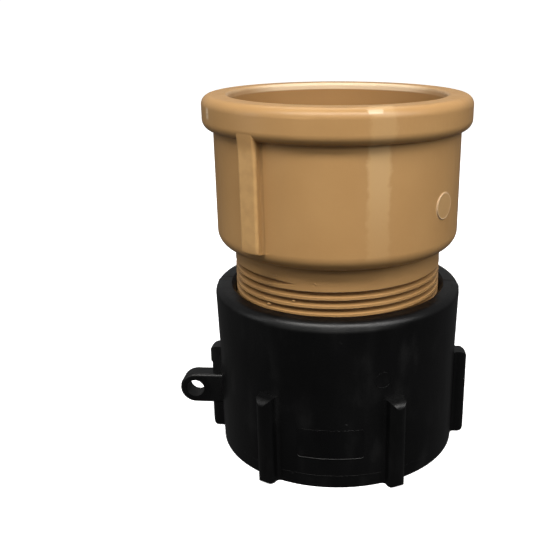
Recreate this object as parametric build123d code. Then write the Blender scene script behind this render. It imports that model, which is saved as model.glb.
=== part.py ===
from build123d import *
import math
import os

os.makedirs("parts", exist_ok=True)

# Screwed adapter that joins the coarse thread of a tank outlet to a plain pipe.
# A black body screws on the tank outlet, and a tan pipe socket screws into its top.
# Sizes are millimetres. The origin is the middle of the black body's bottom face, and +Z is up.
# Angles turn about +Z from +X. The eyelet points to -X and the bare panel faces -Y.

# Black body, outside
body_height = 49.3
body_lower_wall = 4.6
body_shelf_wall = 5.4
body_top_wall = 6.0
body_straight_height = 29.0
body_top_round = 2.3
body_foot_chamfer = 0.2
foot_band_height = 3.8
foot_band_step = 0.1

# Grip ribs of the black body: one on each side at the parting plane, and two before and behind it
parting_rib_angle = 0.0
panel_rib_angle = -90.0
panel_rib_spread = 28.6
grip_rib_width = 5.0
grip_rib_reach = 3.9
grip_rib_corner_round = 2.3
grip_rib_base_round = 1.0
grip_rib_foot = 0.2
grip_rib_foot_round = 1.2
grip_rib_top_round = 2.2
parting_rib_top = 27.1
panel_rib_top = 26.2

# Tether eyelet, on the grip rib that points to -X
eyelet_angle = 180.0
eyelet_reach = 13.6
eyelet_height = 13.0
eyelet_outer_radius = 4.8
eyelet_thickness = 6.0
eyelet_hole_radius = 2.75
eyelet_edge_round = 0.9
eyelet_notch_length = 4.0
eyelet_notch_depth = 0.7

# Coarse inner thread at the tank end, a buttress form
coarse_root_radius = 30.5
coarse_pitch = 6.0
coarse_depth = 2.2
coarse_crest_width = 1.1
coarse_load_flank_angle = 10.0
coarse_lead_flank_angle = 40.0
coarse_turns = 1.75
coarse_start_angle = 60.0
coarse_fade_arc = 35.0
lead_in_step = 0.5
lead_in_length = 3.2
lead_in_chamfer = 0.4
tank_recess_depth = 23.2

# Shelf between the two threads, and the flat seals on its two sides
shelf_thickness = 4.0
least_shelf_width = 5.9
tank_gasket_thickness = 3.0
tank_gasket_clearance = 0.4
spigot_gasket_thickness = 3.0
spigot_gasket_clearance = 0.4
gasket_bore_clearance = 0.4

# Pipe thread between the spigot and the black body
pipe_thread_radius = 29.807
pipe_thread_pitch = 2.309
pipe_thread_depth = 1.35
pipe_groove_mouth = 1.72
pipe_groove_floor = 0.42
pipe_thread_end_angle = 235.0
pipe_thread_fade_arc = 17.0
thread_radial_clearance = 0.3
thread_axial_clearance = 0.16
body_mouth_chamfer = 1.3
body_thread_fade_arc = 30.0

# Spigot of the tan socket
spigot_length = 31.7
spigot_collar_length = 5.1
spigot_nose_chamfer = 1.8
spigot_wall = 3.857

# Tan pipe socket above the spigot
socket_height = 41.7
pipe_radius = 30.15
pipe_depth = 36.0
least_pipe_stop = 2.5
pipe_mouth_round = 1.0
socket_wall = 4.4
socket_least_shoulder = 3.5
socket_shoulder_round = 4.2
socket_floor_chamfer = 1.0
rim_step = 2.9
rim_height = 9.2
rim_under_round = 2.8
rim_top_round = 2.6

# Two ribs on the socket's side, at the mould's parting plane
socket_rib_angle = -125.1
socket_rib_count = 2
socket_rib_width = 6.0
socket_rib_reach = 2.3
socket_rib_round = 1.6
socket_rib_base_round = 0.6
socket_rib_foot_round = 0.5
socket_rib_lift = 3.7

# Round mark of the mould on the socket's side
mould_mark_angle = -33.0
mould_mark_height = 14.5
mould_mark_radius = 3.5
mould_mark_reach = 0.25

# Places that follow from the sizes above
FULL_TURN = 360.0
CUT_MARGIN = 1.0
LEAST_FLAT = 0.1
HAIR = 0.01
HALF_TURN = 180.0
shelf_top = tank_recess_depth + shelf_thickness
nose_height = shelf_top + spigot_gasket_thickness
shoulder_height = nose_height + spigot_length
rim_top = shoulder_height + socket_height
rim_bottom = rim_top - rim_height
pipe_floor = rim_top - pipe_depth
groove_top = shoulder_height - spigot_collar_length
groove_floor_radius = pipe_thread_radius - pipe_thread_depth
flow_radius = min(groove_floor_radius - spigot_wall, pipe_radius - least_pipe_stop)
shelf_bore_radius = min(flow_radius, coarse_root_radius - least_shelf_width)
spigot_recess_radius = pipe_thread_radius + thread_radial_clearance
body_thread_crest_radius = groove_floor_radius + thread_radial_clearance
lead_in_radius = coarse_root_radius + lead_in_step
body_lower_radius = max(lead_in_radius + body_lower_wall, spigot_recess_radius + body_shelf_wall)
body_top_radius = spigot_recess_radius + body_top_wall
grip_rib_crest = body_lower_radius + grip_rib_reach
socket_body_radius = max(pipe_radius + socket_wall, pipe_thread_radius + socket_least_shoulder)
rim_radius = socket_body_radius + rim_step


def bore(radius, bottom, top):
    """Round cutter between two heights."""
    return Pos(0, 0, (bottom + top) / 2) * Cylinder(radius, top - bottom)


def flat_ring(outer_radius, inner_radius, bottom, top):
    """Flat seal between two heights."""
    return bore(outer_radius, bottom, top) - bore(inner_radius, bottom, top)


def limited_round(size, room):
    """Edge round that leaves at least a small flat in the room it has."""
    return min(size, room - LEAST_FLAT)


def rounded_section(points, rounds):
    """Closed outline in radius and height, with chosen corners rounded."""
    section = make_face(Polyline(*points, close=True))
    for corner_radius, corner_height, round_size in rounds:
        corner = section.vertices().sort_by_distance((corner_radius, corner_height, 0))[0]
        section = fillet(corner, round_size)
    return section


def full_spiral(profile, pitch, turns, path_radius, start_height, start_angle):
    """Sweep a radius-height profile up a right-hand helix."""
    path = Helix(pitch, turns * pitch, path_radius)
    spiral = sweep(Plane.XZ * profile, path=path, is_frenet=True)
    return Rot(0, 0, start_angle) * Pos(0, 0, start_height) * spiral


def fading_spiral(profile, pitch, arc, path_radius, rise, height, angle, fades_out):
    """Sweep the profile along a short helix that opens outwards, after or before a thread's end."""
    climb = pitch * arc / FULL_TURN
    slant_pitch = math.hypot(rise, climb) * FULL_TURN / arc
    cone_angle = math.degrees(math.atan2(rise, climb))
    if fades_out:
        path = Helix(slant_pitch, climb, path_radius, cone_angle=cone_angle)
        fade = sweep(Plane.XZ * profile, path=path, is_frenet=True)
        return Rot(0, 0, angle) * Pos(0, 0, height) * fade
    path = Helix(slant_pitch, climb, path_radius + rise, cone_angle=-cone_angle)
    fade = sweep(Pos(rise, 0, 0) * (Plane.XZ * profile), path=path, is_frenet=True)
    return Rot(0, 0, angle - arc) * Pos(0, 0, height - climb) * fade


def tapered_profile(inner_radius, inner_half, outer_radius, outer_below, outer_above):
    """Four-sided thread profile about height 0, from its inner to its outer radius."""
    points = [
        (inner_radius, -inner_half),
        (outer_radius, -outer_below),
        (outer_radius, outer_above),
        (inner_radius, inner_half),
    ]
    return make_face(Polyline(*points, close=True))


def pipe_groove_half_width(radius):
    """Half of the pipe thread groove's width at a radius."""
    flank_slope = (pipe_groove_mouth - pipe_groove_floor) / 2 / pipe_thread_depth
    return pipe_groove_floor / 2 + (radius - groove_floor_radius) * flank_slope


def black_body_blank():
    """Outside of the black body as one turned solid."""
    foot_radius = body_lower_radius - foot_band_step
    points = [
        (0, 0),
        (foot_radius, 0),
        (foot_radius, foot_band_height),
        (body_lower_radius, foot_band_height + foot_band_step),
        (body_lower_radius, body_straight_height),
        (body_top_radius, body_height),
        (0, body_height),
    ]
    section = rounded_section(points, [(body_top_radius, body_height, body_top_round)])
    foot_corner = section.vertices().sort_by_distance((foot_radius, 0, 0))[0]
    section = chamfer(foot_corner, body_foot_chamfer)
    return revolve(Plane.XZ * section, axis=Axis.Z)


def wall_rib(wall_radius, reach, width, corner_round, base_round, bottom, top, foot_round, top_round):
    """Upright rib towards +X on a round wall, with hollow rounds along its base and rounded ends."""
    crest = wall_radius + reach
    plan = Circle(wall_radius) + Pos(crest / 2, 0) * Rectangle(crest, width)
    corner_size = limited_round(corner_round, width / 2)
    plan = fillet(plan.vertices().group_by(Axis.X)[-1], corner_size)
    base_x = math.sqrt(wall_radius ** 2 - (width / 2) ** 2)
    left_base = plan.vertices().sort_by_distance((base_x, width / 2, 0))[0]
    right_base = plan.vertices().sort_by_distance((base_x, -width / 2, 0))[0]
    plan = fillet([left_base, right_base], base_round)
    inner_radius = wall_radius - reach / 2
    plan &= Pos((inner_radius + crest) / 2, 0) * Rectangle(crest - inner_radius, width + 2 * base_round)
    block = Pos(0, 0, bottom) * extrude(plan, amount=top - bottom)
    end_radius = math.hypot(crest, width / 2 - corner_size) + HAIR
    points = [(0, bottom), (end_radius, bottom), (end_radius, top), (0, top)]
    rounds = [(end_radius, bottom, foot_round), (end_radius, top, top_round)]
    return block & revolve(Plane.XZ * rounded_section(points, rounds), axis=Axis.Z)


def grip_rib(angle, top):
    """Grip rib of the black body, up to the given height."""
    rib = wall_rib(
        body_lower_radius, grip_rib_reach, grip_rib_width, grip_rib_corner_round,
        grip_rib_base_round, grip_rib_foot, top, grip_rib_foot_round, grip_rib_top_round,
    )
    return Rot(0, 0, angle) * rib


def grip_ribs():
    """All grip ribs, in opposite pairs."""
    ribs = []
    for side in (0, HALF_TURN):
        ribs.append(grip_rib(parting_rib_angle + side, parting_rib_top))
        ribs.append(grip_rib(panel_rib_angle - panel_rib_spread + side, panel_rib_top))
        ribs.append(grip_rib(panel_rib_angle + panel_rib_spread + side, panel_rib_top))
    return ribs


def eyelet():
    """Rounded lug with a cross hole for a tether."""
    centre_radius = body_lower_radius + eyelet_reach - eyelet_outer_radius
    web_length = centre_radius - lead_in_radius - body_lower_wall / 2
    web = Pos(-web_length / 2, 0) * Rectangle(web_length, 2 * eyelet_outer_radius)
    lug = extrude(Circle(eyelet_outer_radius) + web, amount=eyelet_thickness / 2, both=True)
    faces_by_height = lug.edges().group_by(Axis.Z)
    lug = fillet(faces_by_height[0] + faces_by_height[-1], eyelet_edge_round)
    lug -= Cylinder(eyelet_hole_radius, eyelet_thickness + CUT_MARGIN)
    upright = Pos(centre_radius, 0, eyelet_height) * Rot(90, 0, 0) * lug
    return Rot(0, 0, eyelet_angle) * upright


def eyelet_notch():
    """Shallow step in the face of the eyelet's rib, just above the lug."""
    notch_bottom = eyelet_height + eyelet_outer_radius - eyelet_edge_round
    notch_top = eyelet_height + eyelet_outer_radius + eyelet_notch_length
    notch = Box(grip_rib_reach, grip_rib_width + CUT_MARGIN, notch_top - notch_bottom)
    middle_radius = grip_rib_crest - eyelet_notch_depth + grip_rib_reach / 2
    return Rot(0, 0, eyelet_angle) * Pos(middle_radius, 0, (notch_top + notch_bottom) / 2) * notch


def coarse_thread():
    """Buttress ridge on the tank recess's wall, steep side to the shelf and faded at both ends."""
    wall_overlap = coarse_depth / 5
    base_depth = coarse_depth + wall_overlap
    load_rise = base_depth * math.tan(math.radians(coarse_load_flank_angle))
    lead_drop = base_depth * math.tan(math.radians(coarse_lead_flank_angle))
    half_crest = coarse_crest_width / 2
    base_radius = coarse_root_radius + wall_overlap
    crest_radius = coarse_root_radius - coarse_depth
    profile = tapered_profile(
        crest_radius, half_crest, base_radius, half_crest + lead_drop, half_crest + load_rise
    )
    start_height = lead_in_length + half_crest + lead_drop + coarse_pitch * coarse_fade_arc / FULL_TURN
    end_height = start_height + coarse_turns * coarse_pitch
    end_angle = coarse_start_angle + coarse_turns * FULL_TURN
    ridge = full_spiral(
        profile, coarse_pitch, coarse_turns, coarse_root_radius, start_height, coarse_start_angle
    )
    fade_in = fading_spiral(
        profile, coarse_pitch, coarse_fade_arc, coarse_root_radius, coarse_depth,
        start_height, coarse_start_angle, False,
    )
    fade_out = fading_spiral(
        profile, coarse_pitch, coarse_fade_arc, coarse_root_radius, coarse_depth,
        end_height, end_angle, True,
    )
    return [ridge, fade_in, fade_out]


def body_pipe_thread():
    """Ridge in the upper recess that runs in the spigot's groove with clearance all round."""
    wall_overlap = pipe_thread_depth / 5
    outer_radius = spigot_recess_radius + wall_overlap
    inner_half = pipe_groove_half_width(body_thread_crest_radius) - thread_axial_clearance
    outer_half = pipe_groove_half_width(outer_radius) - thread_axial_clearance
    profile = tapered_profile(body_thread_crest_radius, inner_half, outer_radius, outer_half, outer_half)
    fade_climb = pipe_thread_pitch * body_thread_fade_arc / FULL_TURN
    end_height = body_height - body_mouth_chamfer - fade_climb - outer_half
    end_angle = pipe_thread_end_angle + (end_height - groove_top) / pipe_thread_pitch * FULL_TURN
    turns = (end_height - nose_height) / pipe_thread_pitch
    start_angle = end_angle - turns * FULL_TURN
    fade_rise = spigot_recess_radius - body_thread_crest_radius
    ridge = full_spiral(
        profile, pipe_thread_pitch, turns, pipe_thread_radius, nose_height, start_angle
    )
    fade_out = fading_spiral(
        profile, pipe_thread_pitch, body_thread_fade_arc, pipe_thread_radius, fade_rise,
        end_height, end_angle, True,
    )
    return [ridge, fade_out]


def coarse_thread_body():
    """Black body: tank recess with its coarse thread, shelf, and threaded recess for the spigot."""
    body = black_body_blank()
    for rib in grip_ribs():
        body += rib
    body -= eyelet_notch()
    body += eyelet()
    body -= bore(coarse_root_radius, -CUT_MARGIN, tank_recess_depth)
    body -= bore(lead_in_radius, -CUT_MARGIN, lead_in_length)
    body -= bore(shelf_bore_radius, 0, body_height)
    body -= bore(spigot_recess_radius, shelf_top, body_height + CUT_MARGIN)
    foot_cone = Cone(lead_in_radius + lead_in_chamfer, lead_in_radius, lead_in_chamfer)
    body -= Pos(0, 0, lead_in_chamfer / 2) * foot_cone
    mouth_cone = Cone(spigot_recess_radius, spigot_recess_radius + body_mouth_chamfer, body_mouth_chamfer)
    body -= Pos(0, 0, body_height - body_mouth_chamfer / 2) * mouth_cone
    for ridge in coarse_thread() + body_pipe_thread():
        body += ridge
    return body


def pipe_socket_blank():
    """Tan socket without thread, ribs or mark, as one turned solid."""
    points = [
        (flow_radius, nose_height),
        (pipe_thread_radius - spigot_nose_chamfer, nose_height),
        (pipe_thread_radius, nose_height + spigot_nose_chamfer),
        (pipe_thread_radius, shoulder_height),
        (socket_body_radius, shoulder_height),
        (socket_body_radius, rim_bottom),
        (rim_radius, rim_bottom),
        (rim_radius, rim_top),
        (pipe_radius, rim_top),
        (pipe_radius, pipe_floor),
        (flow_radius + socket_floor_chamfer, pipe_floor),
        (flow_radius, pipe_floor - socket_floor_chamfer),
    ]
    shoulder_room = socket_body_radius - pipe_thread_radius
    rounds = [
        (socket_body_radius, shoulder_height, limited_round(socket_shoulder_round, shoulder_room)),
        (rim_radius, rim_bottom, limited_round(rim_under_round, rim_step)),
        (rim_radius, rim_top, rim_top_round),
        (pipe_radius, rim_top, pipe_mouth_round),
    ]
    return revolve(Plane.XZ * rounded_section(points, rounds), axis=Axis.Z)


def socket_rib(angle):
    """Upright rib that ends above the shoulder and runs up into the rim."""
    rib = wall_rib(
        socket_body_radius, socket_rib_reach, socket_rib_width, socket_rib_round,
        socket_rib_base_round, shoulder_height + socket_rib_lift, rim_bottom + rim_under_round,
        socket_rib_foot_round, socket_rib_foot_round,
    )
    return Rot(0, 0, angle) * rib


def mould_mark():
    """Low round disc left by the mould on the socket's side."""
    length = (socket_body_radius - pipe_radius) / 2
    disc = Rot(0, 90, 0) * Cylinder(mould_mark_radius, length)
    middle_radius = socket_body_radius + mould_mark_reach - length / 2
    height = shoulder_height + mould_mark_height
    return Rot(0, 0, mould_mark_angle) * Pos(middle_radius, 0, height) * disc


def spigot_grooves():
    """Spiral cutters of the spigot's thread, open at the nose and fading out under the collar."""
    outer_radius = pipe_thread_radius + pipe_thread_depth / 4
    outer_half = pipe_groove_half_width(outer_radius)
    inner_half = pipe_groove_floor / 2
    profile = tapered_profile(groove_floor_radius, inner_half, outer_radius, outer_half, outer_half)
    turns = math.ceil((groove_top - nose_height) / pipe_thread_pitch) + 1
    start_height = groove_top - turns * pipe_thread_pitch
    groove = full_spiral(
        profile, pipe_thread_pitch, turns, pipe_thread_radius, start_height, pipe_thread_end_angle
    )
    fade_out = fading_spiral(
        profile, pipe_thread_pitch, pipe_thread_fade_arc, pipe_thread_radius, pipe_thread_depth,
        groove_top, pipe_thread_end_angle, True,
    )
    return [groove, fade_out]


def pipe_socket():
    """Tan socket with its threaded spigot, ribs and mould mark."""
    socket = pipe_socket_blank()
    for index in range(socket_rib_count):
        socket += socket_rib(socket_rib_angle + index * FULL_TURN / socket_rib_count)
    socket += mould_mark()
    for groove in spigot_grooves():
        socket -= groove
    return socket


def tank_gasket():
    """Flat seal that lies against the shelf's lower side."""
    outer_radius = coarse_root_radius - tank_gasket_clearance
    inner_radius = shelf_bore_radius + gasket_bore_clearance
    bottom = tank_recess_depth - tank_gasket_thickness
    return flat_ring(outer_radius, inner_radius, bottom, tank_recess_depth)


def spigot_gasket():
    """Flat seal between the shelf and the spigot's nose."""
    outer_radius = body_thread_crest_radius - spigot_gasket_clearance
    inner_radius = flow_radius + gasket_bore_clearance
    return flat_ring(outer_radius, inner_radius, shelf_top, nose_height)


export_step(coarse_thread_body(), "parts/coarse_thread_body.step")
export_step(tank_gasket(), "parts/tank_gasket.step")
export_step(spigot_gasket(), "parts/spigot_gasket.step")
export_step(pipe_socket(), "parts/pipe_socket.step")
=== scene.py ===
import math
import random
from collections import namedtuple

import bmesh
import bpy
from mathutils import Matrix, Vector


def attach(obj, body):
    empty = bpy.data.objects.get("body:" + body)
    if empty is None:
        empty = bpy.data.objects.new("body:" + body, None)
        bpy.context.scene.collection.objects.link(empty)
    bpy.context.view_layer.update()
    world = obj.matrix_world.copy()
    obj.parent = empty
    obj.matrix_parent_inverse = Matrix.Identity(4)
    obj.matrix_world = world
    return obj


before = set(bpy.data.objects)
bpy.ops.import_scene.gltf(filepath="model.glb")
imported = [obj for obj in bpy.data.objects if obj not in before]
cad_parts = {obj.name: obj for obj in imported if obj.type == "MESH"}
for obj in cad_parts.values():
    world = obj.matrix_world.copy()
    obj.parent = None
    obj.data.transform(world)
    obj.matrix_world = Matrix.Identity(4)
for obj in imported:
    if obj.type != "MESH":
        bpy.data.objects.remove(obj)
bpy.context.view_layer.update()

# Camera, as fitted to the photograph's outlines, in pixels, degrees and metres
IMAGE_SIZE = 560
FOCAL_PIXELS = 784.56
AXIS_PIXEL_X = 337.5
PIXEL_DROP = 0.5
CAMERA_PITCH = 19.087
CAMERA_AZIMUTH = 3.1
CAMERA_DISTANCE = 0.2220
CAMERA_HEIGHT = 0.12535
SENSOR_WIDTH = 36.0

# Studio, in metres
SKY_LEVEL = 0.20
GROUND_LEVEL = 0.06
HORIZON_BLEND = 0.15
FLOOR_HALF_WIDTH = 3.0
FLOOR_FRONT = -2.0
FLOOR_BACK = 1.6
SWEEP_RADIUS = 0.8
SWEEP_STEPS = 24
WALL_TOP = 3.0
LIGHT_TARGET = 0.06
WHITE = (1.0, 1.0, 1.0)
WARM_WHITE = (1.0, 0.98, 0.95)

# From here on, sizes are in millimetres and angles in degrees about +Z from +X
MILLIMETRE = 0.001
HALF_TURN = 180
FULL_TURN = 360

# Sizes of the two mouldings that the small pieces lie on
BLACK_RADIUS = 35.6
BLACK_TOP_RADIUS = 36.107
BLACK_STRAIGHT_HEIGHT = 29.0
BLACK_HEIGHT = 49.3
BLACK_TOP_ROUND = 2.3
BLACK_MOUTH_RADIUS = 31.4
GRIP_RIB_TOP = 27.1
EYELET_ANGLE = 180.0
TAN_RADIUS = 34.55
SHOULDER_TOP = 66.0
RIM_RADIUS = 37.45
RIM_BOTTOM = 97.2
RIM_ROUND_BOTTOM = 101.0
RIM_TOP = 103.6
PIPE_RADIUS = 30.15
TAN_RIB_ANGLE = -125.1
THREAD_RADIUS = 29.807
THREAD_PITCH = 2.309
THREAD_TOP = 56.8
THREAD_TOP_ANGLE = 235.0
THREAD_MOUTH = 1.72
THREAD_TURNS = 11

# Bare panel on the black wall
PANEL_ANGLES = (-105.1, -75.1)
PANEL_HEIGHTS = (9.15, 17.9)
PANEL_CORNER = 0.9
PANEL_CORNER_STEP = 15
PANEL_BEAD = 0.03
PANEL_LEDGE_BEAD = 0.19

# Ring mark on the black wall
BLACK_MARK_ANGLE = -66.9
BLACK_MARK_HEIGHT = 32.05
BLACK_MARK_RADIUS = 2.25
BLACK_MARK_BEAD = 0.06

# Ring mark on the tan wall, round the edge of the solid's low disc
TAN_MARK_ANGLE = -33.0
TAN_MARK_HEIGHT = 76.4
TAN_MARK_RADIUS = 3.45
TAN_MARK_BEAD = 0.13
TAN_DISC_RISE = 0.2

# Crest of the tan ribs
CREST_BACK = 35.2
CREST_FRONT = 36.88
CREST_HALF_WIDTH = 2.98
CREST_CORNER = 0.75
CREST_BOTTOM = 65.66
CREST_FOOT_ROUND = 0.6
CREST_MIDDLE_HEIGHTS = range(70, 89, 3)
CREST_LEAN_START = 91.0
CREST_TOP = 97.6
CREST_SINK = 0.06
CREST_FOOT_STEPS = 5
CREST_LEAN_STEPS = 24

# Painted glint on the rim's side, where a low scrap of flash also lies
GLINT_ANGLE = -151.2
GLINT_HEIGHT = 99.8

# Lines, seams and flash
FOOT_LINE_HEIGHT = 3.85
FOOT_LINE_BEAD = 0.05
SEAM_BEAD = 0.07
RIM_SEAM_STEPS = 8
THREAD_BEAD = 0.05
THREAD_STEPS_PER_TURN = 90
BEAD_SIDES = 8
LUMP_SIDES = 12
LUMP_RINGS = 3
LUMP_WOBBLE = (0.75, 1.2)
LUMP_SINK = 0.01
SEED = 11

# Colours
TAN_DEEP = (0.455, 0.256, 0.098)
TAN_PALE = (0.500, 0.288, 0.114)
# Painted reflection down the front of the tan wall, also laid lightly on the tan ring mark's face
TAN_REFLECTION = (0.62, 0.40, 0.19)
# Painted highlight on the tan rib crests
TAN_CREST_HIGHLIGHT = (0.64, 0.385, 0.155)
# Painted highlights: glints on the rim, the reflection on the bore's lip and the edge of the tan ring mark
TAN_HIGHLIGHT = (0.78, 0.59, 0.38)
# Painted shade in the thread grooves, the rib creases and under the shoulder, also a slightly darker neck
TAN_SHADE = (0.22, 0.115, 0.042)
# Painted shade inside the bore
TAN_BORE_SHADE = (0.27, 0.140, 0.052)
BLACK_DEEP = (0.0009, 0.0009, 0.0010)
BLACK_PALE = (0.0019, 0.0019, 0.0021)
BLACK_DUST = (0.016, 0.016, 0.016)
# Painted highlight on the black body's top edge
BLACK_EDGE_HIGHLIGHT = (0.030, 0.030, 0.030)
RUBBER_DEEP = (0.011, 0.011, 0.011)
RUBBER_PALE = (0.024, 0.024, 0.023)
PAPER_DEEP = (0.86, 0.86, 0.86)
PAPER_PALE = (0.90, 0.90, 0.90)

# Limits of what is painted on the plastics: pairs of angles, of heights, of distances from the axis (skin)
# or of distances along the wall. Where the first is larger, the paint is full below the second and gone
# above the first
NOISE_SPAN = (0.3, 0.7)
RAGGED_REACH = 4.0
TAN_WALL_SKIN = (TAN_RADIUS - 1.05, TAN_RADIUS - 0.25)
# Painted reflection streak down the front of the tan wall
REFLECTION_ANGLES = (-74.5, -64.8)
REFLECTION_START = (SHOULDER_TOP - 3.0, SHOULDER_TOP + 1.0)
REFLECTION_GROWTH = (SHOULDER_TOP, SHOULDER_TOP + 24.0)
REFLECTION_SKIN = (TAN_RADIUS - 1.5, TAN_RADIUS - 0.5)
REFLECTION_RIM_SKIN = (RIM_RADIUS - 2.2, RIM_RADIUS - 1.2)
# Painted highlight on the tan rib crests, and painted shade in the creases along their sides
CREST_HIGHLIGHT_SKIN = (CREST_FRONT - 0.98, CREST_FRONT - 0.28)
CREST_HIGHLIGHT_HEIGHTS = (SHOULDER_TOP + 1.0, RIM_BOTTOM - 4.2)
CREASE_SHADE_HEIGHTS = (SHOULDER_TOP, RIM_BOTTOM - 2.2)
CREASE_SHADE_FROM_MIDDLE = (CREST_HALF_WIDTH - 0.11, CREST_HALF_WIDTH + 0.58)
# Paler face of the tan ring mark, and a painted highlight round its edge
TAN_MARK_FACE = (TAN_MARK_RADIUS + 0.15, TAN_MARK_RADIUS - 0.25)
TAN_MARK_HIGHLIGHT_EDGE = (TAN_MARK_RADIUS - 0.2, TAN_MARK_RADIUS + 0.3)
# Painted glint on the side of the rim
GLINT_ANGLES = (GLINT_ANGLE - 1.5, GLINT_ANGLE + 1.5)
GLINT_HEIGHTS = (GLINT_HEIGHT - 1.4, GLINT_HEIGHT + 1.4)
# Painted shade in the bore, and a painted reflection on its lip
BORE_SHADE_START = (SHOULDER_TOP, SHOULDER_TOP + 2.0)
BORE_SHADE_SKIN = (PIPE_RADIUS - 2.0, PIPE_RADIUS + 0.6)
LIP_REFLECTION_START = (RIM_TOP - 2.1, RIM_TOP - 1.6)
# Painted glint on the front of the rim's top edge
RIM_GLINT_ANGLES = (-75.6, -70.0)
RIM_GLINT_HEIGHTS = (RIM_TOP - 1.4, RIM_TOP - 0.5)
RIM_GLINT_SKIN = (RIM_RADIUS - 2.45, RIM_RADIUS - 1.45)
# Painted shade in the thread grooves, a slightly darker neck, and painted shadow under the shoulder
GROOVE_SHADE_END = (THREAD_TOP + 2.0, THREAD_TOP + 1.0)
GROOVE_SHADE_SKIN = (THREAD_RADIUS - 2.31, THREAD_RADIUS - 0.36)
NECK_END = (SHOULDER_TOP, SHOULDER_TOP - 1.0)
NECK_SKIN = (THREAD_RADIUS + 2.79, THREAD_RADIUS + 1.79)
SHADE_HEIGHTS = (SHOULDER_TOP - 3.4, SHOULDER_TOP - 0.4)
SHADE_SKIN = (TAN_RADIUS - 0.25, TAN_RADIUS - 1.25)
# Painted highlight along the front of the black body's top edge
EDGE_HIGHLIGHT_ANGLES = (-112.0, -68.0)
EDGE_HIGHLIGHT_HEIGHTS = (BLACK_HEIGHT - 2.55, BLACK_HEIGHT - 0.7)
EDGE_HIGHLIGHT_SKIN = (BLACK_RADIUS - 1.0, BLACK_RADIUS - 0.2)
PANEL_POLISH = 0.06

# Sockets of a shader tree that give the object's own place, and its angle, distance from the axis and height
Places = namedtuple("Places", "object angle radius height")


def radial_place(azimuth, elevation, distance, target_height):
    """Point at a distance from the object's axis. Azimuth 0 is on the camera's side."""
    turn = math.radians(azimuth + CAMERA_AZIMUTH)
    lift = math.radians(elevation)
    reach = distance * math.cos(lift)
    return (reach * math.sin(turn), -reach * math.cos(turn), target_height + distance * math.sin(lift))


def make_camera():
    """Camera at the photograph's place and angle."""
    data = bpy.data.cameras.new("camera")
    data.sensor_width = SENSOR_WIDTH
    data.lens = SENSOR_WIDTH * FOCAL_PIXELS / IMAGE_SIZE
    data.shift_x = (IMAGE_SIZE / 2 - AXIS_PIXEL_X) / IMAGE_SIZE
    data.shift_y = PIXEL_DROP / IMAGE_SIZE
    data.clip_start = 0.01
    data.clip_end = 20.0
    camera = bpy.data.objects.new("camera", data)
    camera.location = radial_place(0, 0, CAMERA_DISTANCE, CAMERA_HEIGHT)
    camera.rotation_euler = (math.radians(90 - CAMERA_PITCH), 0, math.radians(CAMERA_AZIMUTH))
    bpy.context.scene.collection.objects.link(camera)
    bpy.context.scene.camera = camera


def area_light(name, power, color, azimuth, elevation, distance, width, height):
    """Rectangular soft light that points at the object's axis."""
    data = bpy.data.lights.new(name, "AREA")
    data.shape = "RECTANGLE"
    data.size = width
    data.size_y = height
    data.energy = power
    data.color = color
    light = bpy.data.objects.new(name, data)
    light.location = radial_place(azimuth, elevation, distance, LIGHT_TARGET)
    light.rotation_euler = (math.radians(90 - elevation), 0, math.radians(azimuth + CAMERA_AZIMUTH))
    bpy.context.scene.collection.objects.link(light)


def make_world():
    """White surroundings that are dimmer below the horizon."""
    world = bpy.data.worlds.new("studio")
    bpy.context.scene.world = world
    world.use_nodes = True
    tree = world.node_tree
    place = add_node(tree, "ShaderNodeTexCoord")
    split = add_node(tree, "ShaderNodeSeparateXYZ")
    level = add_node(
        tree, "ShaderNodeMapRange",
        From_Min=-HORIZON_BLEND, From_Max=HORIZON_BLEND, To_Min=GROUND_LEVEL, To_Max=SKY_LEVEL,
    )
    background = tree.nodes["Background"]
    background.inputs["Color"].default_value = (*WHITE, 1)
    tree.links.new(place.outputs["Generated"], split.inputs["Vector"])
    tree.links.new(split.outputs["Z"], level.inputs["Value"])
    tree.links.new(level.outputs["Result"], background.inputs["Strength"])


def make_backdrop(material):
    """Pale floor that sweeps up into a back wall."""
    profile = [(FLOOR_FRONT, 0.0)]
    for step in range(SWEEP_STEPS + 1):
        turn = math.radians(90) * step / SWEEP_STEPS
        profile.append((FLOOR_BACK + SWEEP_RADIUS * math.sin(turn), SWEEP_RADIUS * (1 - math.cos(turn))))
    profile.append((FLOOR_BACK + SWEEP_RADIUS, WALL_TOP))
    vertices = []
    for side in (-FLOOR_HALF_WIDTH, FLOOR_HALF_WIDTH):
        vertices += [(side, y, z) for y, z in profile]
    count = len(profile)
    faces = [(i, i + count, i + count + 1, i + 1) for i in range(count - 1)]
    mesh = bpy.data.meshes.new("backdrop")
    mesh.from_pydata(vertices, [], faces)
    mesh.polygons.foreach_set("use_smooth", [True] * len(mesh.polygons))
    mesh.materials.append(material)
    backdrop = bpy.data.objects.new("backdrop", mesh)
    backdrop.visible_diffuse = False
    backdrop.visible_glossy = False
    bpy.context.scene.collection.objects.link(backdrop)


def fill_inputs(node, settings):
    """Set a node's inputs by name, with underscores for the spaces."""
    for name, value in settings.items():
        node.inputs[name.replace("_", " ")].default_value = value


def add_node(tree, kind, **settings):
    """Shader node with its named inputs filled in."""
    node = tree.nodes.new(kind)
    fill_inputs(node, settings)
    return node


def new_material(name, **settings):
    """Material with its node tree and its principled shader, whose named inputs are filled in."""
    material = bpy.data.materials.new(name)
    material.use_nodes = True
    shader = material.node_tree.nodes["Principled BSDF"]
    fill_inputs(shader, settings)
    return material, material.node_tree, shader


def math_node(tree, operation, first, second=None):
    """Output of a sum on one or two sockets or plain numbers."""
    node = tree.nodes.new("ShaderNodeMath")
    node.operation = operation
    for index, value in enumerate((first, second)):
        if isinstance(value, (int, float)):
            node.inputs[index].default_value = value
        elif value is not None:
            tree.links.new(value, node.inputs[index])
    return node.outputs["Value"]


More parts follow.
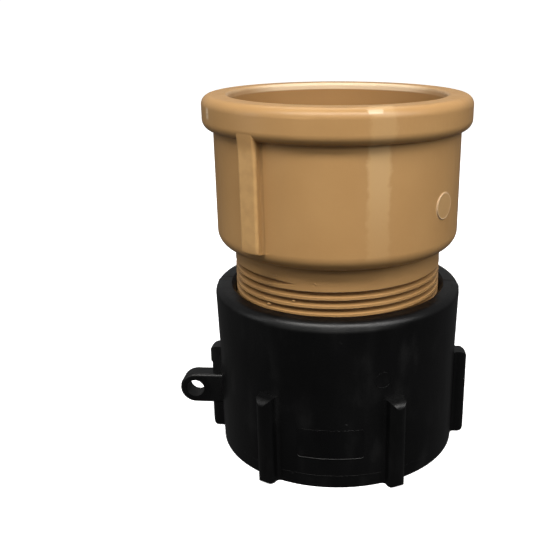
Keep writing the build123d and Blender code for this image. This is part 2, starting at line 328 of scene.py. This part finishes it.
def product(tree, first, *others):
    """Product of sockets and plain numbers."""
    result = first
    for factor in others:
        result = math_node(tree, "MULTIPLY", result, factor)
    return result


def hypotenuse(tree, first, second):
    """Long side of the right triangle that has the two short sides."""
    squares = [math_node(tree, "POWER", side, 2.0) for side in (first, second)]
    return math_node(tree, "SQRT", math_node(tree, "ADD", *squares))


def sine(tree, angle, start=0.0):
    """Sine of an angle in degrees, counted from a start."""
    turn = math_node(tree, "SUBTRACT", angle, start)
    return math_node(tree, "SINE", math_node(tree, "MULTIPLY", turn, math.radians(1.0)))


def smooth_step(tree, value, start, end, first=0.0, last=1.0):
    """Soft change from one number to another as the value goes from start to end."""
    node = add_node(tree, "ShaderNodeMapRange", From_Min=start, From_Max=end, To_Min=first, To_Max=last)
    node.interpolation_type = "SMOOTHSTEP"
    tree.links.new(value, node.inputs["Value"])
    return node.outputs["Result"]


def window(tree, value, low, high, soft):
    """One between two limits and nought outside, with soft edges."""
    rise = smooth_step(tree, value, low - soft, low + soft)
    fall = smooth_step(tree, value, high - soft, high + soft, 1.0, 0.0)
    return math_node(tree, "MULTIPLY", rise, fall)


def round_places(tree):
    """Places on the object, with the angle in degrees and the rest in millimetres."""
    coordinates = add_node(tree, "ShaderNodeTexCoord")
    split = add_node(tree, "ShaderNodeSeparateXYZ")
    tree.links.new(coordinates.outputs["Object"], split.inputs["Vector"])
    x, y, z = (split.outputs[name] for name in "XYZ")
    return Places(
        object=coordinates.outputs["Object"],
        angle=math_node(tree, "MULTIPLY", math_node(tree, "ARCTAN2", y, x), math.degrees(1.0)),
        radius=math_node(tree, "MULTIPLY", hypotenuse(tree, x, y), 1 / MILLIMETRE),
        height=math_node(tree, "MULTIPLY", z, 1 / MILLIMETRE),
    )


def noise(tree, place, scale, detail, upright=1.0):
    """Noise over the object's own place, drawn out in height where upright is less than one."""
    mapping = add_node(tree, "ShaderNodeMapping", Scale=(1.0, 1.0, upright))
    grain = add_node(tree, "ShaderNodeTexNoise", Scale=scale, Detail=detail)
    tree.links.new(place, mapping.inputs["Vector"])
    tree.links.new(mapping.outputs["Vector"], grain.inputs["Vector"])
    return grain.outputs["Fac"]


def color_ramp(tree, value, *stops):
    """Colour that follows a value through stops of place and colour."""
    ramp = add_node(tree, "ShaderNodeValToRGB")
    elements = ramp.color_ramp.elements
    for element, (position, color) in zip(elements, stops):
        element.position = position
        element.color = (*color, 1)
    tree.links.new(value, ramp.inputs["Fac"])
    return ramp.outputs["Color"]


def paint(tree, color, over, *limits, strength=1.0):
    """Plain colour laid over a colour socket, as strongly as the product of the limits and strength says."""
    node = tree.nodes.new("ShaderNodeMix")
    node.data_type = "RGBA"
    tree.links.new(product(tree, *limits, strength), node.inputs["Factor"])
    tree.links.new(color, node.inputs["A"])
    node.inputs["B"].default_value = (*over, 1)
    return node.outputs["Result"]


def add_bump(tree, shader, *layers):
    """Stack of bumps on the shader, each a height socket with its strength and depth."""
    normal = None
    for height, strength, distance in layers:
        bump = add_node(tree, "ShaderNodeBump", Strength=strength, Distance=distance)
        tree.links.new(height, bump.inputs["Height"])
        if normal is not None:
            tree.links.new(normal, bump.inputs["Normal"])
        normal = bump.outputs["Normal"]
    tree.links.new(normal, shader.inputs["Normal"])


def floor_material():
    """Pale matte paper that shines a little, so that it stays white behind the object."""
    material, tree, shader = new_material(
        "pale_floor", Roughness=0.9, Specular_IOR_Level=0.2,
        Emission_Color=(*WHITE, 1), Emission_Strength=0.85,
    )
    grain = noise(tree, add_node(tree, "ShaderNodeTexCoord").outputs["Object"], scale=6.0, detail=3.0)
    color = color_ramp(tree, grain, (0.0, PAPER_DEEP), (1.0, PAPER_PALE))
    tree.links.new(color, shader.inputs["Base Color"])
    return material


def paint_reflection_streak(tree, at, ragged_angle, color):
    """Painted reflection of a tall light: a paler streak down the front of the tan wall, weaker at its foot
    and on the rim.
    """
    return paint(
        tree, color, TAN_REFLECTION,
        window(tree, ragged_angle, *REFLECTION_ANGLES, soft=1.1),
        smooth_step(tree, at.height, *REFLECTION_GROWTH, first=0.3),
        smooth_step(tree, at.height, *REFLECTION_START),
        smooth_step(tree, at.radius, *REFLECTION_RIM_SKIN, first=1.0, last=0.45),
        smooth_step(tree, at.radius, *REFLECTION_SKIN),
        strength=0.8,
    )


def paint_rib_light_and_shade(tree, at, ragged, color):
    """Painted highlight on the crests of the tan ribs, and painted shade in the creases along their sides."""
    color = paint(
        tree, color, TAN_CREST_HIGHLIGHT,
        smooth_step(tree, at.radius, *CREST_HIGHLIGHT_SKIN),
        window(tree, at.height, *CREST_HIGHLIGHT_HEIGHTS, soft=1.5),
        smooth_step(tree, ragged, start=0.25, end=0.7, first=0.45, last=0.85),
    )
    from_middle = product(tree, math_node(tree, "ABSOLUTE", sine(tree, at.angle, TAN_RIB_ANGLE)), TAN_RADIUS)
    # Painted shade in the creases along both sides of each rib
    return paint(
        tree, color, TAN_SHADE,
        window(tree, from_middle, *CREASE_SHADE_FROM_MIDDLE, soft=0.21),
        window(tree, at.height, *CREASE_SHADE_HEIGHTS, soft=1.0),
        smooth_step(tree, at.radius, *TAN_WALL_SKIN),
        strength=0.4,
    )


def paint_tan_mark(tree, at, color):
    """Paler face of the ring mark on the tan wall, and a painted highlight round its edge."""
    across = product(tree, math_node(tree, "SUBTRACT", at.angle, TAN_MARK_ANGLE), math.radians(TAN_RADIUS))
    from_centre = hypotenuse(tree, across, math_node(tree, "SUBTRACT", at.height, TAN_MARK_HEIGHT))
    face = smooth_step(tree, from_centre, *TAN_MARK_FACE)
    edge = window(tree, from_centre, *TAN_MARK_HIGHLIGHT_EDGE, soft=0.15)
    outside = smooth_step(tree, at.radius, *TAN_WALL_SKIN)
    color = paint(tree, color, TAN_REFLECTION, face, outside, strength=0.35)
    return paint(tree, color, TAN_HIGHLIGHT, edge, outside, strength=0.6)


def paint_side_glint(tree, at, color):
    """Painted glint: a pale spot on the side of the rim."""
    return paint(
        tree, color, TAN_HIGHLIGHT,
        window(tree, at.angle, *GLINT_ANGLES, soft=0.5),
        window(tree, at.height, *GLINT_HEIGHTS, soft=0.5),
        strength=0.75,
    )


def paint_bore_shade_and_lip_reflection(tree, at, color):
    """Painted shade in the bore for the pipe, and a painted reflection on its lip that is palest at the back.
    """
    inside = window(tree, at.radius, *BORE_SHADE_SKIN, soft=0.4)
    bore = product(tree, inside, smooth_step(tree, at.height, *BORE_SHADE_START))
    backward = smooth_step(tree, sine(tree, at.angle), start=0.4, end=1.0, first=0.3, last=1.5)
    color = paint(tree, color, TAN_BORE_SHADE, bore, strength=0.5)
    return paint(tree, color, TAN_HIGHLIGHT, smooth_step(tree, at.height, *LIP_REFLECTION_START), bore, backward)


def paint_rim_top_glint(tree, at, ragged_angle, color):
    """Painted glint on the front of the rim's top edge."""
    return paint(
        tree, color, TAN_HIGHLIGHT,
        window(tree, ragged_angle, *RIM_GLINT_ANGLES, soft=0.5),
        window(tree, at.height, *RIM_GLINT_HEIGHTS, soft=0.25),
        smooth_step(tree, at.radius, *RIM_GLINT_SKIN),
        strength=0.8,
    )


def paint_neck_shade(tree, at, color):
    """Painted shade in the thread grooves and under the shoulder, and a slightly darker neck."""
    color = paint(
        tree, color, TAN_SHADE,
        window(tree, at.radius, *GROOVE_SHADE_SKIN, soft=0.25),
        smooth_step(tree, at.height, *GROOVE_SHADE_END),
        strength=0.75,
    )
    color = paint(
        tree, color, TAN_SHADE,
        smooth_step(tree, at.radius, *NECK_SKIN),
        smooth_step(tree, at.height, *NECK_END),
        strength=0.08,
    )
    # Painted shadow under the shoulder
    return paint(
        tree, color, TAN_SHADE,
        window(tree, at.height, *SHADE_HEIGHTS, soft=0.6),
        smooth_step(tree, at.radius, *SHADE_SKIN),
        strength=0.2,
    )


def tan_material():
    """Soft-gloss moulded plastic with flow marks, a fine skin, and painted highlights, reflections and shade.
    """
    material, tree, shader = new_material("tan_plastic_moulded", Specular_IOR_Level=0.38)
    at = round_places(tree)
    cloud = noise(tree, at.object, scale=55.0, detail=4.0)
    flow = noise(tree, at.object, scale=240.0, detail=3.0, upright=0.12)
    ragged = noise(tree, at.object, scale=420.0, detail=3.0)
    skin = noise(tree, at.object, scale=900.0, detail=2.0)
    shift = product(tree, math_node(tree, "SUBTRACT", ragged, 0.5), RAGGED_REACH)
    ragged_angle = math_node(tree, "ADD", at.angle, shift)
    color = color_ramp(tree, cloud, (NOISE_SPAN[0], TAN_DEEP), (NOISE_SPAN[1], TAN_PALE))
    color = paint_reflection_streak(tree, at, ragged_angle, color)
    color = paint_rib_light_and_shade(tree, at, ragged, color)
    color = paint_tan_mark(tree, at, color)
    color = paint_side_glint(tree, at, color)
    color = paint_bore_shade_and_lip_reflection(tree, at, color)
    color = paint_rim_top_glint(tree, at, ragged_angle, color)
    color = paint_neck_shade(tree, at, color)
    tree.links.new(color, shader.inputs["Base Color"])
    tree.links.new(smooth_step(tree, flow, *NOISE_SPAN, first=0.30, last=0.40), shader.inputs["Roughness"])
    add_bump(tree, shader, (skin, 0.06, 0.0004), (flow, 0.05, 0.0005), (cloud, 0.05, 0.001))
    return material


def black_material():
    """Satin moulded plastic, nearly black, with a fine spark-eroded grain, dust, smears and a painted edge
    highlight.
    """
    material, tree, shader = new_material("black_plastic_moulded", Specular_IOR_Level=0.37)
    at = round_places(tree)
    cloud = noise(tree, at.object, scale=70.0, detail=5.0)
    skin = noise(tree, at.object, scale=1400.0, detail=2.0)
    rub_and_highlight_noise = noise(tree, at.object, scale=160.0, detail=4.0, upright=0.35)
    smears = noise(tree, at.object, scale=150.0, detail=8.0, upright=0.4)
    specks = noise(tree, at.object, scale=520.0, detail=2.0)
    color = color_ramp(tree, cloud, (NOISE_SPAN[0], BLACK_DEEP), (NOISE_SPAN[1], BLACK_PALE))
    color = paint(tree, color, BLACK_DUST, smooth_step(tree, smears, start=0.5, end=0.8), strength=0.45)
    color = paint(tree, color, BLACK_DUST, smooth_step(tree, specks, start=0.76, end=0.8))
    # Painted highlight on the lower half of the top edge's round, at the front
    color = paint(
        tree, color, BLACK_EDGE_HIGHLIGHT,
        window(tree, at.height, *EDGE_HIGHLIGHT_HEIGHTS, soft=0.5),
        smooth_step(tree, at.radius, *EDGE_HIGHLIGHT_SKIN),
        window(tree, at.angle, *EDGE_HIGHLIGHT_ANGLES, soft=14.0),
        smooth_step(tree, rub_and_highlight_noise, *NOISE_SPAN, first=0.6),
    )
    tree.links.new(color, shader.inputs["Base Color"])
    panel = product(
        tree,
        window(tree, at.angle, *PANEL_ANGLES, soft=0.3),
        window(tree, at.height, *PANEL_HEIGHTS, soft=0.2),
        PANEL_POLISH,
    )
    rough = smooth_step(tree, rub_and_highlight_noise, start=0.35, end=0.7, first=0.33, last=0.41)
    tree.links.new(math_node(tree, "SUBTRACT", rough, panel), shader.inputs["Roughness"])
    add_bump(tree, shader, (skin, 0.12, 0.0003), (cloud, 0.06, 0.0008))
    return material


def rubber_material():
    """Matte black seal rubber with a fine grain."""
    material, tree, shader = new_material("seal_rubber_matte")
    place = add_node(tree, "ShaderNodeTexCoord").outputs["Object"]
    grain = noise(tree, place, scale=1200.0, detail=3.0)
    bloom = noise(tree, place, scale=180.0, detail=4.0)
    color = color_ramp(tree, bloom, (0.3, RUBBER_DEEP), (0.75, RUBBER_PALE))
    tree.links.new(color, shader.inputs["Base Color"])
    tree.links.new(smooth_step(tree, bloom, *NOISE_SPAN, first=0.74, last=0.86), shader.inputs["Roughness"])
    add_bump(tree, shader, (grain, 0.3, 0.0002))
    return material


def wall_point(angle, radius, height):
    """Point in metres, from an angle about +Z from +X and millimetre sizes."""
    turn = math.radians(angle)
    return Vector((radius * math.cos(turn), radius * math.sin(turn), height)) * MILLIMETRE


def radial(point):
    """Direction straight out from the object's axis."""
    return Vector((point.x, point.y, 0)).normalized()


def add_bead(form, points, outwards, radii, closed=False):
    """Half-sunk round line along points, as thick as its radii say."""
    rings = []
    count = len(points)
    for index, point in enumerate(points):
        before = points[(index - 1) % count] if closed else points[max(index - 1, 0)]
        after = points[(index + 1) % count] if closed else points[min(index + 1, count - 1)]
        along = (after - before).normalized()
        out = (outwards[index] - along * outwards[index].dot(along)).normalized()
        side = along.cross(out)
        ring = []
        for step in range(BEAD_SIDES):
            turn = 2 * math.pi * step / BEAD_SIDES
            offset = out * math.cos(turn) + side * math.sin(turn)
            ring.append(form.verts.new(point + offset * radii[index] * MILLIMETRE))
        rings.append(ring)
    pairs = list(zip(rings, rings[1:]))
    if closed:
        pairs.append((rings[-1], rings[0]))
    for first, second in pairs:
        for step in range(BEAD_SIDES):
            after = (step + 1) % BEAD_SIDES
            form.faces.new((first[step], first[after], second[after], second[step]))
    if not closed:
        form.faces.new(list(reversed(rings[0])))
        form.faces.new(rings[-1])


def add_lump(form, centre, out, along, length, width, height, chance):
    """Low uneven mound on a surface, longest in the along direction. Sizes are in millimetres."""
    side = out.cross(along).normalized()
    along = side.cross(out)
    wobble = [chance.uniform(*LUMP_WOBBLE) for _ in range(LUMP_SIDES)]
    top = form.verts.new(centre + out * height * MILLIMETRE)
    rings = []
    for level in range(1, LUMP_RINGS + 1):
        spread = math.sin(math.pi / 2 * level / LUMP_RINGS)
        rise = height * (math.cos(math.pi / 2 * level / LUMP_RINGS) - (level == LUMP_RINGS))
        ring = []
        for step in range(LUMP_SIDES):
            turn = 2 * math.pi * step / LUMP_SIDES
            reach = spread * wobble[step] / 2
            offset = along * (length * reach * math.cos(turn)) + side * (width * reach * math.sin(turn))
            ring.append(form.verts.new(centre + (offset + out * rise) * MILLIMETRE))
        rings.append(ring)
    for step in range(LUMP_SIDES):
        after = (step + 1) % LUMP_SIDES
        form.faces.new((top, rings[0][step], rings[0][after]))
        for first, second in zip(rings, rings[1:]):
            form.faces.new((first[step], second[step], second[after], first[after]))


def finish_piece(name, form, material, body):
    """Turn the built form into a smooth piece that rides on a body."""
    mesh = bpy.data.meshes.new(name)
    bmesh.ops.recalc_face_normals(form, faces=form.faces)
    form.to_mesh(mesh)
    form.free()
    mesh.polygons.foreach_set("use_smooth", [True] * len(mesh.polygons))
    mesh.materials.append(material)
    piece = bpy.data.objects.new(name, mesh)
    bpy.context.scene.collection.objects.link(piece)
    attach(piece, body)


def black_wall_radius(height):
    """Radius of the black body's side, which leans out above its straight part."""
    rise = max(0.0, height - BLACK_STRAIGHT_HEIGHT) / (BLACK_HEIGHT - BLACK_STRAIGHT_HEIGHT)
    return BLACK_RADIUS + (BLACK_TOP_RADIUS - BLACK_RADIUS) * rise


def panel_frame(material):
    """Low raised outline of the bare panel, with a stronger ledge along its bottom."""
    left, right = PANEL_ANGLES
    bottom, top = PANEL_HEIGHTS
    corner_arc = math.degrees(PANEL_CORNER / BLACK_RADIUS)
    corners = [(right, bottom, 270), (right, top, 0), (left, top, 90), (left, bottom, 180)]
    outline = []
    for angle, height, first_turn in corners:
        inward_angle = corner_arc if angle == left else -corner_arc
        inward_height = PANEL_CORNER if height == bottom else -PANEL_CORNER
        for turn in range(first_turn, first_turn + 91, PANEL_CORNER_STEP):
            outline.append((
                angle + inward_angle + corner_arc * math.cos(math.radians(turn)),
                height + inward_height + PANEL_CORNER * math.sin(math.radians(turn)),
            ))
    places = []
    for index, (angle, height) in enumerate(outline):
        next_angle, next_height = outline[(index + 1) % len(outline)]
        run = math.radians(next_angle - angle) * BLACK_RADIUS
        steps = max(1, round(math.hypot(run, next_height - height)))
        for step in range(steps):
            share = step / steps
            places.append((angle + (next_angle - angle) * share, height + (next_height - height) * share))
    form = bmesh.new()
    points = [wall_point(angle, BLACK_RADIUS, height) for angle, height in places]
    radii = []
    for _, height in places:
        lift = min(1.0, (height - bottom) / PANEL_CORNER)
        radii.append(PANEL_LEDGE_BEAD + (PANEL_BEAD - PANEL_LEDGE_BEAD) * lift)
    add_bead(form, points, [radial(point) for point in points], radii, closed=True)
    finish_piece("panel_frame", form, material, "tank_side")


def ring_mark(centre_angle, centre_height, size, wall_radius, bead):
    """Fine ring that a pin or insert of the mould leaves on a wall."""
    form = bmesh.new()
    points = []
    for turn in range(0, FULL_TURN, 10):
        height = centre_height + size * math.sin(math.radians(turn))
        angle = centre_angle + math.degrees(size * math.cos(math.radians(turn)) / wall_radius)
        points.append(wall_point(angle, wall_radius, height))
    add_bead(form, points, [radial(point) for point in points], [bead] * len(points), closed=True)
    return form


def black_mark(material):
    """Ring mark on the black wall, above a grip rib."""
    wall_radius = black_wall_radius(BLACK_MARK_HEIGHT)
    form = ring_mark(BLACK_MARK_ANGLE, BLACK_MARK_HEIGHT, BLACK_MARK_RADIUS, wall_radius, BLACK_MARK_BEAD)
    finish_piece("black_mark", form, material, "tank_side")


def tan_mark(material):
    """Ring mark on the right of the tan wall."""
    disc_radius = TAN_RADIUS + TAN_DISC_RISE
    form = ring_mark(TAN_MARK_ANGLE, TAN_MARK_HEIGHT, TAN_MARK_RADIUS, disc_radius, TAN_MARK_BEAD)
    finish_piece("tan_mark", form, material, "socket")


def foot_line(material):
    """Raised line round the black body's foot, where two parts of its mould meet."""
    form = bmesh.new()
    radius = BLACK_RADIUS - FOOT_LINE_BEAD / 2
    points = [wall_point(angle, radius, FOOT_LINE_HEIGHT) for angle in range(0, FULL_TURN, 3)]
    add_bead(form, points, [radial(point) for point in points], [FOOT_LINE_BEAD] * len(points), closed=True)
    finish_piece("foot_line", form, material, "tank_side")


def black_seams(material):
    """Fine parting lines of the black moulding, up its sides and over its top edge."""
    form = bmesh.new()
    up = Vector((0, 0, 1))
    centre_radius = BLACK_TOP_RADIUS - BLACK_TOP_ROUND
    centre_height = BLACK_HEIGHT - BLACK_TOP_ROUND
    for angle in (EYELET_ANGLE, EYELET_ANGLE - HALF_TURN):
        out = radial(wall_point(angle, BLACK_RADIUS, 0))
        points = []
        outwards = []
        for height in range(math.floor(GRIP_RIB_TOP), math.floor(centre_height)):
            points.append(wall_point(angle, black_wall_radius(height), height))
            outwards.append(out)
        for turn in range(0, 91, 15):
            lean = math.radians(turn)
            radius = centre_radius + BLACK_TOP_ROUND * math.cos(lean)
            points.append(wall_point(angle, radius, centre_height + BLACK_TOP_ROUND * math.sin(lean)))
            outwards.append(out * math.cos(lean) + up * math.sin(lean))
        points.append(wall_point(angle, BLACK_MOUTH_RADIUS, BLACK_HEIGHT))
        outwards.append(up)
        add_bead(form, points, outwards, [SEAM_BEAD] * len(points))
    finish_piece("black_seams", form, material, "tank_side")


def even_steps(first, last, steps):
    """Evenly spaced values from first to last."""
    return [first + (last - first) * step / steps for step in range(steps + 1)]


def socket_seams(material):
    """Fine parting lines of the tan moulding, up the side of its rim."""
    form = bmesh.new()
    for angle in (TAN_RIB_ANGLE, TAN_RIB_ANGLE + HALF_TURN):
        heights = even_steps(RIM_BOTTOM, RIM_ROUND_BOTTOM, RIM_SEAM_STEPS)
        points = [wall_point(angle, RIM_RADIUS - SEAM_BEAD, height) for height in heights]
        add_bead(form, points, [radial(point) for point in points], [SEAM_BEAD] * len(points))
    finish_piece("socket_seams", form, material, "socket")


def crest_section(height):
    """Outline of a tan rib's crest at a height, as pairs of distance from the axis and sideways place."""
    lean = min(1.0, max(0.0, (height - CREST_LEAN_START) / (CREST_TOP - CREST_LEAN_START)))
    lean = lean * lean * (3 - 2 * lean)
    front = CREST_FRONT + (RIM_RADIUS - CREST_SINK - CREST_FRONT) * lean
    foot = max(0.0, 1 - (height - CREST_BOTTOM) / CREST_FOOT_ROUND)
    front -= CREST_FOOT_ROUND * (1 - math.sqrt(1 - foot * foot))
    flat = CREST_HALF_WIDTH - CREST_CORNER
    side = [(CREST_BACK, CREST_HALF_WIDTH)]
    for turn in range(0, 91, 18):
        reach = front - CREST_CORNER + CREST_CORNER * math.sin(math.radians(turn))
        side.append((reach, flat + CREST_CORNER * math.cos(math.radians(turn))))
    side += [(front, flat * share) for share in (0.9, 0.6, 0.3)]
    side = [(reach - lean * sideways * sideways / (2 * front), sideways) for reach, sideways in side]
    return side + [(reach, -sideways) for reach, sideways in reversed(side)]


def rib_crests(material):
    """Flat crests of the two tan ribs, with small edge rounds, that run up into the rim."""
    form = bmesh.new()
    heights = even_steps(CREST_BOTTOM, CREST_BOTTOM + CREST_FOOT_ROUND, CREST_FOOT_STEPS)
    heights += CREST_MIDDLE_HEIGHTS
    heights += even_steps(CREST_LEAN_START, CREST_TOP, CREST_LEAN_STEPS)
    for angle in (TAN_RIB_ANGLE, TAN_RIB_ANGLE + HALF_TURN):
        out = radial(wall_point(angle, TAN_RADIUS, 0))
        across = Vector((-out.y, out.x, 0))
        rings = []
        for height in heights:
            ring = []
            for reach, sideways in crest_section(height):
                place = out * reach + across * sideways + Vector((0, 0, height))
                ring.append(form.verts.new(place * MILLIMETRE))
            rings.append(ring)
        for lower, upper in zip(rings, rings[1:]):
            for index in range(len(lower)):
                after = (index + 1) % len(lower)
                form.faces.new((lower[index], lower[after], upper[after], upper[index]))
        form.faces.new(list(reversed(rings[0])))
        form.faces.new(rings[-1])
    finish_piece("rib_crests", form, material, "socket")


def thread_edges(material):
    """Rounded edges along both sides of the spigot's thread groove."""
    form = bmesh.new()
    steps = THREAD_TURNS * THREAD_STEPS_PER_TURN
    for side in (-1, 1):
        points = []
        for step in range(steps + 1):
            turn = -THREAD_TURNS * FULL_TURN * step / steps
            height = THREAD_TOP + THREAD_PITCH * turn / FULL_TURN + side * THREAD_MOUTH / 2
            points.append(wall_point(THREAD_TOP_ANGLE + turn, THREAD_RADIUS - THREAD_BEAD / 2, height))
        add_bead(form, points, [radial(point) for point in points], [THREAD_BEAD] * len(points))
    finish_piece("thread_edges", form, material, "socket")


def socket_flash(material):
    """Scraps of flash and small specks on the tan moulding."""
    form = bmesh.new()
    chance = random.Random(SEED)
    up = Vector((0, 0, 1))
    # Angle, wall's radius, height, length, width and rise of each scrap
    scraps = [
        (-120.4, THREAD_RADIUS, 58.5, 1.6, 0.5, 0.16), (-123.9, THREAD_RADIUS, 55.9, 1.2, 0.5, 0.2),
        (-109.9, THREAD_RADIUS, 52.3, 1.1, 0.4, 0.12), (-125.8, THREAD_RADIUS, 49.9, 1.3, 0.5, 0.15),
        (-98.0, THREAD_RADIUS, 57.5, 0.9, 0.7, 0.12), (-41.3, TAN_RADIUS, 89.3, 0.55, 0.45, 0.1),
        (-44.5, TAN_RADIUS, 78.6, 0.5, 0.4, 0.1), (GLINT_ANGLE, RIM_RADIUS, GLINT_HEIGHT, 1.2, 0.8, 0.05),
    ]
    for angle, radius, height, length, width, rise in scraps:
        centre = wall_point(angle, radius - LUMP_SINK, height)
        out = radial(centre)
        add_lump(form, centre, out, up.cross(out), length, width, rise, chance)
    finish_piece("socket_flash", form, material, "socket")


def dress(node, material):
    """Give a CAD node its finish."""
    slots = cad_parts[node].data.materials
    slots.clear()
    slots.append(material)


bpy.context.scene.view_settings.view_transform = "Standard"
make_camera()
make_world()
make_backdrop(floor_material())
area_light("key", 7.5, WARM_WHITE, azimuth=-1, elevation=57, distance=0.75, width=1.10, height=0.18)
area_light("strip", 0.7, WARM_WHITE, azimuth=-2, elevation=37, distance=0.75, width=1.00, height=0.05)
area_light("left", 0.45, WHITE, azimuth=-74, elevation=14, distance=0.70, width=0.16, height=0.40)
area_light("right", 1.25, WHITE, azimuth=52, elevation=30, distance=0.70, width=0.40, height=0.30)
area_light("overhead", 0.9, WHITE, azimuth=180, elevation=62, distance=0.70, width=0.50, height=0.12)
rubber = rubber_material()
tan = tan_material()
black = black_material()
dress("pipe_socket", tan)
dress("coarse_thread_body", black)
dress("tank_gasket", rubber)
dress("spigot_gasket", rubber)
panel_frame(black)
black_mark(black)
tan_mark(tan)
foot_line(black)
black_seams(black)
socket_seams(tan)
rib_crests(tan)
thread_edges(tan)
socket_flash(tan)
